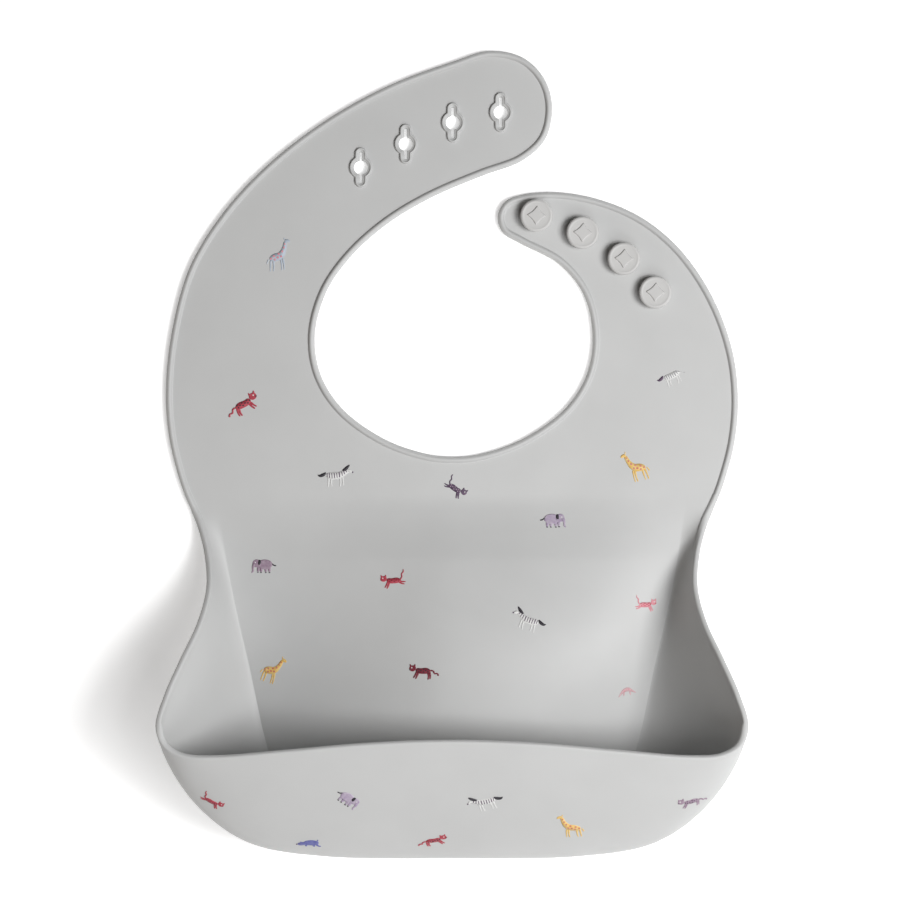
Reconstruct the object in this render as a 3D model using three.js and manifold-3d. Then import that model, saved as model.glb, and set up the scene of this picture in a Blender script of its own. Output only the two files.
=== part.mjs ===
// A moulded silicone bib with a catch pocket, lying on its back with its straps spread.
// Units are millimetres. X runs across the bib, Y up it from the pocket to the straps, and Z out of
// its front. The origin is on the table, under the middle of the bib's bounding box.
import * as THREE from "three";
import { mergeVertices } from "three/addons/utils/BufferGeometryUtils.js";
import Module from "manifold-3d";

const wasm = await Module();
wasm.setup();

// Driving dimensions.
const SHEET = 1.8; // thickness of the silicone sheet and of the pocket's wall
const BEAD_HEIGHT = 3; // height of the bead along the sheet's edge
const BEAD_WIDTH = 2.7;
const PART_GAP = 0.35; // clearance between neighbouring pieces
const PANEL_GAP = 0.9; // between the panel and the pocket's sides
const FLEX_GAP = 1.7; // clearance at a line where a strap bends
const YOKE_LOW = -14; // where the flat yoke ends and the domed chest panel starts
const DOME_HEIGHT = 18; // how far the chest panel bulges forward
const NECK_CENTRE = new THREE.Vector2(0.5, 45);
const HOLE_STRAP_BENDS = [195, 161, 127]; // directions of the bend lines from the neck's centre, in degrees
const BUTTON_STRAP_BENDS = [-22, 3];
const PIECE_REACH = 150; // radius that takes in the whole sheet
const NECK_REACH = 35; // radius that stays inside the neck opening
const EDGE_STEPS = 3; // straight steps between two points of the sheet's edge
const DISC_STEPS = 24;
const LOBE_STEPS = 6;

const HOLE_RADIUS = 2.4;
const SLIT = { width: 0.9, length: 11.2 };
const EYELET = { radius: 4.2, lobe: 4.4, length: 14.8, height: 3 };
const HOLES = [[-33.7, 106.5], [-17.1, 115.2], [0.3, 123.1], [18, 126.9]];

const STUD = { stem: 2.9, head: 6, under: 4, top: 6.4, round: 0.8 };
const STAR = { tip: 3.7, waist: 1.9, height: 0.35 };
const BUTTONS = [[31.2, 88.5], [48.2, 82.2], [63.4, 72.6], [75, 60.2]];

const SILICONE = new THREE.MeshStandardMaterial({ color: 0xd2cec8, roughness: 0.6, metalness: 0 });
const BUTTON_SILICONE = new THREE.MeshStandardMaterial({ color: 0xd9d4ce, roughness: 0.6, metalness: 0 });

// The sheet's edge, from the left of the chest round both straps and the neck to the right of the chest.
const EDGE = [
  [-97, -20], [-101.5, -7], [-104.9, 8], [-105.9, 25], [-103.6, 46.5], [-97.2, 69.5], [-85.4, 89],
  [-69, 106.9], [-47.6, 123.5], [-23.7, 136.8], [0, 145.7], [14, 149.8], [26.4, 147.2], [34.2, 139.4],
  [37.1, 129], [34.6, 117.2], [26.2, 109.2], [11, 103.4], [-7.5, 95.5], [-23.5, 86], [-37.4, 73.6],
  [-46.6, 60.2], [-50.7, 44.5], [-48.6, 30], [-40.6, 17.4], [-25.5, 6.4], [-10, 0.8], [0.5, -0.3],
  [11, 0.8], [26.5, 6.4], [41.8, 17.4], [49.8, 30], [52, 44.5], [48.6, 59.6], [39.6, 70.8],
  [25.4, 78.4], [18.6, 82.7], [16.9, 88.6], [19.6, 94], [27, 96.8], [40, 97.4], [55, 94.6],
  [69.6, 88.4], [82, 78.8], [91.8, 66.6], [99.4, 52.2], [104.4, 36], [105.9, 20], [104.6, 5],
  [101, -9], [97, -20],
].map(([x, y]) => new THREE.Vector3(x, y, 0));

// The pocket's wall is lofted between four guide curves: the crease where it leaves the panel, the rim,
// and two shaping curves between them. Each row is one station of the left half, from the top of the
// fold to the middle of the front: crease, two shaping points and rim.
const FLAT = SHEET / 2; // height of the sheet's middle surface
const POCKET = [
  [[-87, -14.4, FLAT], [-91.2, -14.4, FLAT], [-95.4, -14.4, FLAT], [-99.1, -14.4, FLAT]],
  [[-86, -21, FLAT], [-89.8, -21, FLAT], [-93.6, -20.8, 1], [-96.4, -20.6, 1.2]],
  [[-84.8, -29, FLAT], [-88, -29, FLAT], [-90.8, -28.4, 2.6], [-93, -28, 4.6]],
  [[-83.4, -38, FLAT], [-86.4, -38, FLAT], [-88.5, -37.2, 5], [-90.3, -36.6, 10]],
  [[-81, -51, FLAT], [-84.4, -51, FLAT], [-86.6, -49.6, 10], [-89, -48.2, 19]],
  [[-78.2, -64, FLAT], [-82, -64.2, FLAT], [-86.6, -62.4, 14], [-91.6, -60.4, 28.5]],
  [[-75, -77.5, FLAT], [-79.5, -78, FLAT], [-88.6, -76, 17], [-97, -73, 38]],
  [[-72.2, -91, FLAT], [-77.6, -92, FLAT], [-93, -90, 20], [-102.2, -85.6, 44.6]],
  [[-69.6, -103, FLAT], [-76.6, -105, FLAT], [-99.5, -103.6, 23], [-104.7, -96, 48.6]],
  [[-66.4, -112.6, FLAT], [-76.4, -118, FLAT], [-105.4, -116.6, 26], [-102.2, -102.4, 49.8]],
  [[-59.4, -120.8, FLAT], [-71, -134.5, FLAT], [-100.4, -136.4, 25], [-95.6, -106, 50.4]],
  [[-47, -126, FLAT], [-56.5, -148, FLAT], [-87.4, -151.8, 24], [-84, -106.6, 50.8]],
  [[-31, -128, FLAT], [-35, -153.6, FLAT], [-60.6, -156.8, 24], [-58, -104.4, 52]],
  [[-15.5, -128, FLAT], [-17.5, -155, FLAT], [-30, -158, 24], [-29, -101.8, 53.2]],
  [[0, -128, FLAT], [0, -155, FLAT], [0, -158.2, 24], [0, -100.8, 53.6]],
];
const CORNER_STATION = 9; // the station where a side wall gives way to the front
const PANEL_STATION = 12; // the station where the panel's side reaches its bottom edge
const DOME_POWER = 1.5; // how softly the panel's bulge starts at its top and bottom
const DOME_DROP = 1.25; // above 1 the bulge's crest lies below the panel's middle
const RIDGE_ROUND = 0.15; // how softly the panel's ridge turns, as a share of half its width
const RIDGE_LEVEL = 3.2; // above 2 the panel's right half stays level for longer
const ROUND_FROM = [0.4, 0.66]; // where down the panel its ridge turns into a round dome
const BELLY = 0.46; // share of the way up the wall, from crease to rim, where the floor ends
const STATION_GAP = 0.035; // half the gap between a side wall and the front, in stations
const BELLY_GAP = 0.003; // half the gap between floor and front, as a share of the wall
const PANEL_COLUMNS = 18;
const PANEL_ROWS = 14;
const SIDE_COLUMNS = 14;
const SIDE_ROWS = 7;
const FRONT_COLUMNS = 22;
const FRONT_ROWS = 5;

const radians = THREE.MathUtils.degToRad;

// ---- solids ----

function toSolid(geometry) {
  const bare = geometry.index ? geometry.toNonIndexed() : geometry.clone();
  bare.deleteAttribute("normal");
  bare.deleteAttribute("uv");
  const merged = mergeVertices(bare, 1e-4);
  return new wasm.Manifold(
    new wasm.Mesh({
      numProp: 3,
      vertProperties: merged.attributes.position.array,
      triVerts: new Uint32Array(merged.index.array),
    }),
  );
}

function toGeometry(solid) {
  const { vertProperties, triVerts } = solid.getMesh();
  const geometry = new THREE.BufferGeometry();
  geometry.setAttribute("position", new THREE.BufferAttribute(vertProperties, 3));
  geometry.setIndex(new THREE.BufferAttribute(triVerts, 1));
  geometry.computeVertexNormals();
  return geometry;
}

function prism(shape, low, high) {
  const geometry = new THREE.ExtrudeGeometry(shape, { depth: high - low, bevelEnabled: false });
  return toSolid(geometry.translate(0, 0, low));
}

const polygon = (points) => new THREE.Shape(points.map(([x, y]) => new THREE.Vector2(x, y)));

// ---- the flat sheet: yoke and straps ----

// A closed loop moved inwards by a distance; the loop runs clockwise.
function inset(loop, distance) {
  return loop.map((point, i) => {
    const before = loop[(i + loop.length - 1) % loop.length];
    const after = loop[(i + 1) % loop.length];
    const along = after.clone().sub(before).normalize();
    return new THREE.Vector2(point.x + along.y * distance, point.y - along.x * distance);
  });
}

function sheet() {
  const curve = new THREE.CatmullRomCurve3(EDGE, false, "centripetal");
  const loop = curve.getPoints((EDGE.length - 1) * EDGE_STEPS).map((p) => new THREE.Vector2(p.x, p.y));
  const plate = new THREE.Shape(loop);
  const bead = new THREE.Shape(loop);
  bead.holes.push(new THREE.Path(inset(loop, BEAD_WIDTH).reverse()));
  return prism(plate, 0, SHEET).add(prism(bead, 0, BEAD_HEIGHT));
}

// A point on the ray from the neck's centre at an angle, moved sideways by a share of the flex gap.
function onBend(angle, radius, side) {
  const along = new THREE.Vector2(Math.cos(radians(angle)), Math.sin(radians(angle)));
  const across = new THREE.Vector2(-along.y, along.x).multiplyScalar((side * FLEX_GAP) / 2);
  const point = NECK_CENTRE.clone().addScaledVector(along, radius).add(across);
  return [point.x, point.y];
}

// The sector between two bend lines, from inside the neck opening to past the outer edge.
function sector(from, to) {
  const middle = (from + to) / 2;
  return [
    onBend(from, NECK_REACH, 1),
    onBend(from, PIECE_REACH, 1),
    onBend(middle, PIECE_REACH, 0),
    onBend(to, PIECE_REACH, -1),
    onBend(to, NECK_REACH, -1),
  ];
}

const [HOLE_1, HOLE_2, HOLE_3] = HOLE_STRAP_BENDS;
const [BUTTON_1, BUTTON_2] = BUTTON_STRAP_BENDS;
const STRAP_DIVIDE = [[2, 92], [30, 103], [60, 106]]; // a line that keeps the two strap ends apart
const REGIONS = {
  yoke: [
    onBend(HOLE_1, NECK_REACH, 1),
    onBend(HOLE_1, PIECE_REACH, 1),
    [-PIECE_REACH, YOKE_LOW],
    [PIECE_REACH, YOKE_LOW],
    onBend(BUTTON_1, PIECE_REACH, -1),
    onBend(BUTTON_1, NECK_REACH, -1),
  ],
  hole_strap_root: sector(HOLE_2, HOLE_1),
  hole_strap_middle: sector(HOLE_3, HOLE_2),
  hole_strap_end: [
    onBend(HOLE_3, NECK_REACH, -1),
    onBend(HOLE_3, PIECE_REACH, -1),
    [60, PIECE_REACH],
    ...STRAP_DIVIDE.toReversed(),
  ],
  button_strap_root: sector(BUTTON_1, BUTTON_2),
  button_strap_end: [
    onBend(BUTTON_2, NECK_REACH, 1),
    onBend(BUTTON_2, PIECE_REACH, 1),
    [PIECE_REACH, 106],
    ...STRAP_DIVIDE.toReversed(),
    [2, 70],
  ],
};

// ---- buttonholes and buttons ----

// A disc and the upright round-ended slot through it, from one height to another.
function keyhole([x, y], radius, width, length, low, high) {
  const reach = (length - width) / 2;
  const slot = new THREE.Shape();
  slot.absarc(0, reach, width / 2, 0, Math.PI);
  slot.absarc(0, -reach, width / 2, Math.PI, 2 * Math.PI);
  const options = { depth: high - low, bevelEnabled: false, curveSegments: LOBE_STEPS };
  const upright = new THREE.ExtrudeGeometry(slot, options).translate(x, y, low);
  const disc = new THREE.CylinderGeometry(radius, radius, high - low, DISC_STEPS).rotateX(Math.PI / 2);
  return toSolid(disc.translate(x, y, (low + high) / 2)).add(toSolid(upright));
}

const eyeletOutline = (at, spare, low, high) =>
  keyhole(at, EYELET.radius + spare, EYELET.lobe + 2 * spare, EYELET.length + 2 * spare, low, high);

function eyelet(at) {
  const hole = keyhole(at, HOLE_RADIUS, SLIT.width, SLIT.length, -1, EYELET.height + 1);
  return eyeletOutline(at, 0, 0, EYELET.height).subtract(hole);
}

// A mushroom button with a raised four-pointed star on its head; its stem goes through the strap.
function buttonStud([x, y]) {
  const profile = [
    [0, 0], [STUD.stem, 0], [STUD.stem, STUD.under], [STUD.head - STUD.round, STUD.under],
    [STUD.head, STUD.under + STUD.round], [STUD.head, STUD.top - STUD.round],
    [STUD.head - STUD.round, STUD.top], [0, STUD.top],
  ].map(([r, z]) => new THREE.Vector2(r, z));
  const body = new THREE.LatheGeometry(profile, DISC_STEPS).rotateX(Math.PI / 2);
  const tips = Array.from({ length: 8 }, (_, i) => {
    const reach = i % 2 ? STAR.waist : STAR.tip;
    return [reach * Math.cos((i * Math.PI) / 4), reach * Math.sin((i * Math.PI) / 4)];
  });
  const star = prism(polygon(tips), STUD.top - 0.2, STUD.top + STAR.height);
  return toSolid(body).add(star).translate([x, y, 0]);
}

// ---- the chest panel and the pocket ----

// A closed shell of the sheet's thickness round a surface given by a function of two shares, 0 to 1.
function shell(surface, columns, rows) {
  const step = 1e-3;
  const sides = [[], []];
  for (let j = 0; j <= rows; j++) {
    for (let i = 0; i <= columns; i++) {
      const [u, v] = [i / columns, j / rows];
      const du = surface(Math.min(u + step, 1), v).sub(surface(Math.max(u - step, 0), v));
      const dv = surface(u, Math.min(v + step, 1)).sub(surface(u, Math.max(v - step, 0)));
      const normal = du.cross(dv).normalize();
      for (const [side, sign] of [[0, 1], [1, -1]])
        sides[side].push(surface(u, v).addScaledVector(normal, (sign * SHEET) / 2));
    }
  }
  const wide = columns + 1;
  const count = wide * (rows + 1);
  const triangles = [];
  const quad = (a, b, c, d) => triangles.push(a, b, c, a, c, d);
  for (let j = 0; j < rows; j++) {
    for (let i = 0; i < columns; i++) {
      const [a, b, c, d] = [j * wide + i, j * wide + i + 1, (j + 1) * wide + i + 1, (j + 1) * wide + i];
      quad(a, b, c, d);
      quad(count + d, count + c, count + b, count + a);
    }
  }
  for (let i = 0; i < columns; i++) {
    const top = rows * wide + i;
    quad(i + 1, i, count + i, count + i + 1);
    quad(top, top + 1, count + top + 1, count + top);
  }
  for (let j = 0; j < rows; j++) {
    const [left, right] = [j * wide, j * wide + columns];
    quad(left, left + wide, count + left + wide, count + left);
    quad(right + wide, right, count + right, count + right + wide);
  }
  const geometry = new THREE.BufferGeometry();
  geometry.setAttribute("position", new THREE.Float32BufferAttribute(sides.flat().flatMap((p) => p.toArray()), 3));
  geometry.setIndex(triangles);
  return geometry;
}

const mirrored = ([x, y, z]) => [-x, y, z];
const guides = [0, 1, 2, 3].map((k) => {
  const left = POCKET.map((station) => station[k]);
  const right = left.slice(0, -1).reverse().map(mirrored);
  return new THREE.CatmullRomCurve3([...left, ...right].map((p) => new THREE.Vector3(...p)), false, "centripetal");
});
const STATIONS = 2 * POCKET.length - 2; // number of steps between stations, from waist to waist

// A point of the pocket's wall: station counts along it from the left waist, up runs from crease to rim.
function pocketWall(station, up) {
  const share = THREE.MathUtils.clamp(station / STATIONS, 0, 1);
  const [crease, low, high, rim] = guides.map((guide) => guide.getPoint(share));
  return new THREE.CubicBezierCurve3(crease, low, high, rim).getPoint(up);
}

// Part of the pocket's wall, between two stations and two heights.
function wallPiece([from, to], [low, high], columns, rows) {
  const surface = (u, v) => pocketWall(from + (to - from) * u, low + (high - low) * v);
  return shell(surface, columns, rows);
}

// How far the panel stands forward: a ridge that falls away evenly to the left and stays level to the
// right, turning into a round dome towards the pocket's floor.
function panelBulge(across, v) {
  const slope = (Math.hypot(across, RIDGE_ROUND) - RIDGE_ROUND) / (Math.hypot(1, RIDGE_ROUND) - RIDGE_ROUND);
  const fall = across < 0 ? slope : across ** RIDGE_LEVEL;
  const turn = THREE.MathUtils.smoothstep(v, ...ROUND_FROM);
  const crest = 1 - THREE.MathUtils.lerp(fall, across * across, turn);
  return DOME_HEIGHT * crest * Math.sin(Math.PI * v ** DOME_DROP) ** DOME_POWER;
}

// The chest panel lies between the creases, from the yoke down to the pocket's bottom edge.
function chestPanel() {
  const surface = (u, v) => {
    const edge = guides[0].getPoint((v * PANEL_STATION) / STATIONS);
    const across = 1 - 2 * u;
    const y = Math.min(YOKE_LOW - PART_GAP, edge.y + PART_GAP * v);
    return new THREE.Vector3(across * (-edge.x - PANEL_GAP), y, FLAT + panelBulge(across, v));
  };
  return shell(surface, PANEL_COLUMNS, PANEL_ROWS);
}

// ---- the assembly ----

const bib = new THREE.Group();
bib.name = "silicone_bib";

function add(name, geometry, material = SILICONE) {
  const mesh = new THREE.Mesh(geometry, material);
  mesh.name = name;
  bib.add(mesh);
}

const wholeSheet = sheet();
const pieces = Object.fromEntries(
  Object.entries(REGIONS).map(([name, region]) => [
    name,
    wholeSheet.intersect(prism(polygon(region), -5, BEAD_HEIGHT + 5)),
  ]),
);
for (const at of HOLES)
  pieces.hole_strap_end = pieces.hole_strap_end.subtract(eyeletOutline(at, PART_GAP, -1, BEAD_HEIGHT + 1));
for (const [x, y] of BUTTONS) {
  const radius = STUD.stem + PART_GAP;
  const socket = new THREE.CylinderGeometry(radius, radius, 10, DISC_STEPS).rotateX(Math.PI / 2).translate(x, y, 0);
  pieces.button_strap_end = pieces.button_strap_end.subtract(toSolid(socket));
}
for (const [name, solid] of Object.entries(pieces)) add(name, toGeometry(solid));

HOLES.forEach((at, i) => add(`buttonhole_eyelet_${i + 1}`, toGeometry(eyelet(at))));
BUTTONS.forEach((at, i) => add(`button_stud_${i + 1}`, toGeometry(buttonStud(at)), BUTTON_SILICONE));

add("chest_panel", chestPanel());
const FAR_CORNER = STATIONS - CORNER_STATION;
const FRONT = [CORNER_STATION + STATION_GAP, FAR_CORNER - STATION_GAP];
const LEFT = [0, CORNER_STATION - STATION_GAP];
const RIGHT = [FAR_CORNER + STATION_GAP, STATIONS];
add("pocket_side_left", wallPiece(LEFT, [0, 1], SIDE_COLUMNS, SIDE_ROWS));
add("pocket_side_right", wallPiece(RIGHT, [0, 1], SIDE_COLUMNS, SIDE_ROWS));
add("pocket_floor", wallPiece(FRONT, [0, BELLY - BELLY_GAP], FRONT_COLUMNS, FRONT_ROWS));
add("pocket_front", wallPiece(FRONT, [BELLY + BELLY_GAP, 1], FRONT_COLUMNS, FRONT_ROWS));

export default bib;
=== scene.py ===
"""A moulded silicone bib with a catch pocket, lying on its back with its straps spread.

Shapes are worked out in millimetres and each finished piece is brought to metres. X runs across the bib,
Y up it from the pocket to the straps, and Z out of its front.
"""
import math

import bmesh
import bpy
from bpy.props import FloatProperty, FloatVectorProperty, IntProperty, PointerProperty
from bpy.types import Operator, Panel, PropertyGroup
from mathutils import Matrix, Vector
from mathutils.bvhtree import BVHTree


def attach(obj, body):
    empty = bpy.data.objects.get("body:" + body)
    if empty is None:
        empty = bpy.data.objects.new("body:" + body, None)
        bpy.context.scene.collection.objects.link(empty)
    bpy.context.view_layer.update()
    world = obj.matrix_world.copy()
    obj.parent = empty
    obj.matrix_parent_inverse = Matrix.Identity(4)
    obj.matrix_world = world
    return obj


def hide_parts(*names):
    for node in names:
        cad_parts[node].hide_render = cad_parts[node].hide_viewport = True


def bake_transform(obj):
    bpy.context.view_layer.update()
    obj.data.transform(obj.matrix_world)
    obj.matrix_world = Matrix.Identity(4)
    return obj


bl_info = {
    "name": "Silicone Bib",
    "version": (1, 0, 0),
    "blender": (4, 5, 0),
    "location": "View3D > Sidebar > Bib",
    "description": "Builds a moulded silicone bib with a catch pocket, buttons and printed animals",
    "category": "Add Mesh",
}

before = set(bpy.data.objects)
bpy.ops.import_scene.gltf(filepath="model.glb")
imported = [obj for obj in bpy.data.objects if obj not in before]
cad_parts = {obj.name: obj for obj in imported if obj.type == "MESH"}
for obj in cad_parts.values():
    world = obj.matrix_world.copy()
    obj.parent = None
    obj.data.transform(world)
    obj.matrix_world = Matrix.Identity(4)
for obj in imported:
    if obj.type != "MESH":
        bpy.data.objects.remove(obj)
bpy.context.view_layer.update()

MM = 0.001
UP = Vector((0, 0, 1))

# ---- driving shapes, in millimetres ----

# The sheet's edge, from the left of the chest round both straps and the neck to the right of the chest.
EDGE = [
    (-97, -20), (-101.5, -7), (-104.9, 8), (-105.9, 25), (-103.6, 46.5), (-97.2, 69.5), (-85.4, 89),
    (-69, 106.9), (-47.6, 123.5), (-23.7, 136.8), (0, 145.7), (14, 149.8), (26.4, 147.2), (34.2, 139.4),
    (37.1, 129), (34.6, 117.2), (26.2, 109.2), (11, 103.4), (-7.5, 95.5), (-23.5, 86), (-37.4, 73.6),
    (-46.6, 60.2), (-50.7, 44.5), (-48.6, 30), (-40.6, 17.4), (-25.5, 6.4), (-10, 0.8), (0.5, -0.3),
    (11, 0.8), (26.5, 6.4), (41.8, 17.4), (49.8, 30), (52, 44.5), (48.6, 59.6), (39.6, 70.8),
    (25.4, 78.4), (18.6, 82.7), (16.9, 88.6), (19.6, 94), (27, 96.8), (40, 97.4), (55, 94.6),
    (69.6, 88.4), (82, 78.8), (91.8, 66.6), (99.4, 52.2), (104.4, 36), (105.9, 20), (104.6, 5),
    (101, -9), (97, -20),
]
EDGE_STEPS = 12
YOKE_LOW = -14.4  # where the yoke meets the chest panel
SHEET = 1.8  # thickness of the silicone
FLAT = SHEET / 2  # height of the sheet's middle surface
NECK = Vector((0.5, 45, FLAT))

# The pocket's left half: crease, two shaping points and rim at each station, from the top of the fold to
# the middle of the front.
POCKET = [
    [(-87, -14.4, FLAT), (-91.2, -14.4, FLAT), (-95.4, -14.4, FLAT), (-99.1, -14.4, FLAT)],
    [(-86, -21, FLAT), (-89.8, -21, FLAT), (-93.6, -20.8, 1), (-96.4, -20.6, 1.2)],
    [(-84.8, -29, FLAT), (-88, -29, FLAT), (-90.8, -28.4, 2.6), (-93, -28, 4.6)],
    [(-83.4, -38, FLAT), (-86.4, -38, FLAT), (-88.5, -37.2, 5), (-90.3, -36.6, 10)],
    [(-81, -51, FLAT), (-84.4, -51, FLAT), (-86.6, -49.6, 10), (-89, -48.2, 19)],
    [(-78.2, -64, FLAT), (-82, -64.2, FLAT), (-86.6, -62.4, 14), (-91.6, -60.4, 28.5)],
    [(-75, -77.5, FLAT), (-79.5, -78, FLAT), (-88.6, -76, 17), (-97, -73, 38)],
    [(-72.2, -91, FLAT), (-77.6, -92, FLAT), (-93, -90, 20), (-102.2, -85.6, 44.6)],
    [(-69.6, -103, FLAT), (-76.6, -105, FLAT), (-99.5, -103.6, 23), (-104.7, -96, 48.6)],
    [(-66.4, -112.6, FLAT), (-76.4, -118, FLAT), (-105.4, -116.6, 26), (-102.2, -102.4, 49.8)],
    [(-59.4, -120.8, FLAT), (-71, -134.5, FLAT), (-100.4, -136.4, 25), (-95.6, -106, 50.4)],
    [(-47, -126, FLAT), (-56.5, -148, FLAT), (-87.4, -151.8, 24), (-84, -106.6, 50.8)],
    [(-31, -128, FLAT), (-35, -153.6, FLAT), (-60.6, -156.8, 24), (-58, -104.4, 52)],
    [(-15.5, -128, FLAT), (-17.5, -155, FLAT), (-30, -158, 24), (-29, -101.8, 53.2)],
    [(0, -128, FLAT), (0, -155, FLAT), (0, -158, 24), (0, -100.8, 53.6)],
]
PANEL_STATION = 12  # the station where the panel's side reaches its bottom edge
STATIONS = 2 * len(POCKET) - 2
NOTCH_STATION = 8  # where the front's thicker lip starts
PANEL_ROWS = 96
PANEL_COLUMNS = 44
RIDGE_ROUND = 0.15  # how softly the panel's ridge turns, as a share of half its width
RIDGE_LEVEL = 3.2  # above 2 the panel's right half stays level for longer
DOME_DROP = 1.25  # above 1 the bulge's crest lies below the panel's middle
DOME_POWER = 1.5  # how softly the bulge starts at the panel's top and bottom
ROUND_FROM = (0.4, 0.66)  # where down the panel its ridge turns into a round dome
WALL_ROWS = 22
SIDE_BEAD, LIP_BEAD = 0.16, 0.6  # share of the bead on the pocket's sides and on its front lip
BEAD_FADE = (0.3, 2.7)  # stations over which the bead thins from the top of the fold to the sides

# The edge bead's section: distance in from the edge, and height above the back of the sheet.
BEAD = [
    (0, 1.15), (0.1, 1.72), (0.34, 2.28), (0.7, 2.7), (1.1, 2.92), (1.48, 2.96), (1.82, 2.82), (2.1, 2.52),
    (2.3, 2.18), (2.42, 1.92), (2.52, SHEET), (2.8, SHEET), (3.3, SHEET),
]
EDGE_FOOT = [(0, 0.55), (0.14, 0.22), (0.45, 0.03), (0.8, 0)]  # the rounded lower corner, likewise

# Bend lines and cuts: direction from the neck's centre in degrees. A bend's reach is half its width.
HOLE_BENDS = (195, 161, 127)
HOLE_CUTS = (178, 144)
BUTTON_BENDS = (-22, 3)
BUTTON_CUT = -9.5
HOLE_BEND_REACH = 13
BUTTON_BEND_REACH = 10.4
DIVIDE = (Vector((-40, 72, 0)), Vector((-0.468, 0.883, 0)))  # a line between the two strap ends
FLEX_ROWS = 16

HOLES = [(-33.7, 106.5), (-17.1, 115.2), (0.3, 123.1), (18, 126.9)]
BUTTONS = [(31.2, 88.5), (48.2, 82.2), (63.4, 72.6), (75, 60.2)]

FRONT_WALL_TOP = -102  # prints below this are on the pocket's front wall

# ---- settings ----


class BibSettings(PropertyGroup):
    """Sizes and colours of the moulding"""

    dome: FloatProperty(name="Dome", description="How far the chest panel bulges forward",
                        default=0.018, unit="LENGTH")
    silicone: FloatVectorProperty(name="Silicone", description="Colour of the moulded sheet",
                                  default=(0.55, 0.553, 0.55), size=3, subtype="COLOR")
    button_colour: FloatVectorProperty(name="Buttons", description="Colour of the button studs",
                                       default=(0.57, 0.566, 0.558), size=3, subtype="COLOR")
    head_radius: FloatProperty(name="Button radius", description="Radius of a button's head",
                               default=0.006, unit="LENGTH")
    star_reach: FloatProperty(name="Star", description="Reach of the raised star's tips on a button",
                              default=0.0049, unit="LENGTH")
    ink_height: FloatProperty(name="Ink height", description="How far a print stands above the silicone",
                              default=0.00008, unit="LENGTH")
    button_steps: IntProperty(name="Button steps", description="Steps round a button", default=72)


# ---- curves ----


def hermite_point(before, start, end, after, share):
    """A point between start and end on a centripetal Catmull-Rom curve."""
    d0, d1, d2 = (max((b - a).length, 1e-9) ** 0.5 for a, b in ((before, start), (start, end), (end, after)))
    lead = ((start - before) / d0 - (end - before) / (d0 + d1) + (end - start) / d1) * d1
    tail = ((end - start) / d1 - (after - start) / (d1 + d2) + (after - end) / d2) * d1
    t2, t3 = share * share, share ** 3
    return (start * (2 * t3 - 3 * t2 + 1) + lead * (t3 - 2 * t2 + share)
            + end * (3 * t2 - 2 * t3) + tail * (t3 - t2))


def along(points, station):
    """The point of a smooth curve through the points, with one unit of station between neighbours."""
    last = len(points) - 1
    i = min(int(max(station, 0)), last - 1)
    before = points[i - 1] if i else points[0] * 2 - points[1]
    after = points[i + 2] if i + 2 <= last else points[last] * 2 - points[last - 1]
    return hermite_point(before, points[i], points[i + 1], after, station - i)


def smooth_line(points, steps):
    """Points along the smooth curve through the given ones."""
    count = (len(points) - 1) * steps
    return [along(points, k / steps) for k in range(count + 1)]


def ease(start, end, value):
    """Goes smoothly from 0 at the start to 1 at the end."""
    share = min(max((value - start) / (end - start), 0), 1)
    return share * share * (3 - 2 * share)


def direction(degrees):
    angle = math.radians(degrees)
    return Vector((math.cos(angle), math.sin(angle), 0))


def across(degrees):
    """The direction a quarter turn anticlockwise of a bend line."""
    return direction(degrees + 90)


# ---- meshes ----


def only(kind, geometry):
    """The vertices, edges or faces among a mixed list of geometry."""
    return [item for item in geometry if isinstance(item, kind)]


def outline_face(bm, points, height):
    """A flat face with the given outline, looking up."""
    face = bm.faces.new([bm.verts.new((x, y, height)) for x, y, *_ in points])
    face.normal_update()
    if face.normal.z < 0:
        face.normal_flip()
    return face


def raise_face(bm, face, height):
    """Pulls a copy of a face straight up, with walls between the two, and gives the raised one."""
    result = bmesh.ops.extrude_face_region(bm, geom=[face], use_keep_orig=True)
    bmesh.ops.translate(bm, vec=(0, 0, height), verts=only(bmesh.types.BMVert, result["geom"]))
    bmesh.ops.reverse_faces(bm, faces=[face])
    return only(bmesh.types.BMFace, result["geom"])[0]


def lay_grid(bm, columns, rows, place):
    """A grid of faces whose vertices are put in place by column and row."""
    grid = bmesh.ops.create_grid(bm, x_segments=columns, y_segments=rows, size=0.5)
    for vert in grid["verts"]:
        vert.co = place(round((vert.co.x + 0.5) * columns), round((vert.co.y + 0.5) * rows))


def cut_away(bm, point, outward):
    """Takes away what lies on the outward side of a plane and closes the cut with a sharp edge."""
    geom = bm.verts[:] + bm.edges[:] + bm.faces[:]
    cut = bmesh.ops.bisect_plane(bm, geom=geom, dist=1e-5, plane_co=point, plane_no=outward, clear_outer=True)
    rim = only(bmesh.types.BMEdge, cut["geom_cut"])
    for edge in rim:
        edge.smooth = False
    bmesh.ops.holes_fill(bm, edges=rim, sides=0)


def flex_rows(bm, point, normal, reach):
    """Adds rows of vertices across a bend so that it can curve."""
    for k in range(FLEX_ROWS + 1):
        offset = reach * (2 * k / FLEX_ROWS - 1)
        geom = bm.verts[:] + bm.edges[:] + bm.faces[:]
        bmesh.ops.bisect_plane(bm, geom=geom, dist=1e-5, plane_co=point + normal * offset, plane_no=normal)


def join(bm, other):
    """Adds another mesh to this one."""
    mesh = bpy.data.meshes.new("part")
    bmesh.ops.recalc_face_normals(other, faces=other.faces)
    other.to_mesh(mesh)
    other.free()
    bm.from_mesh(mesh)
    bpy.data.meshes.remove(mesh)


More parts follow.
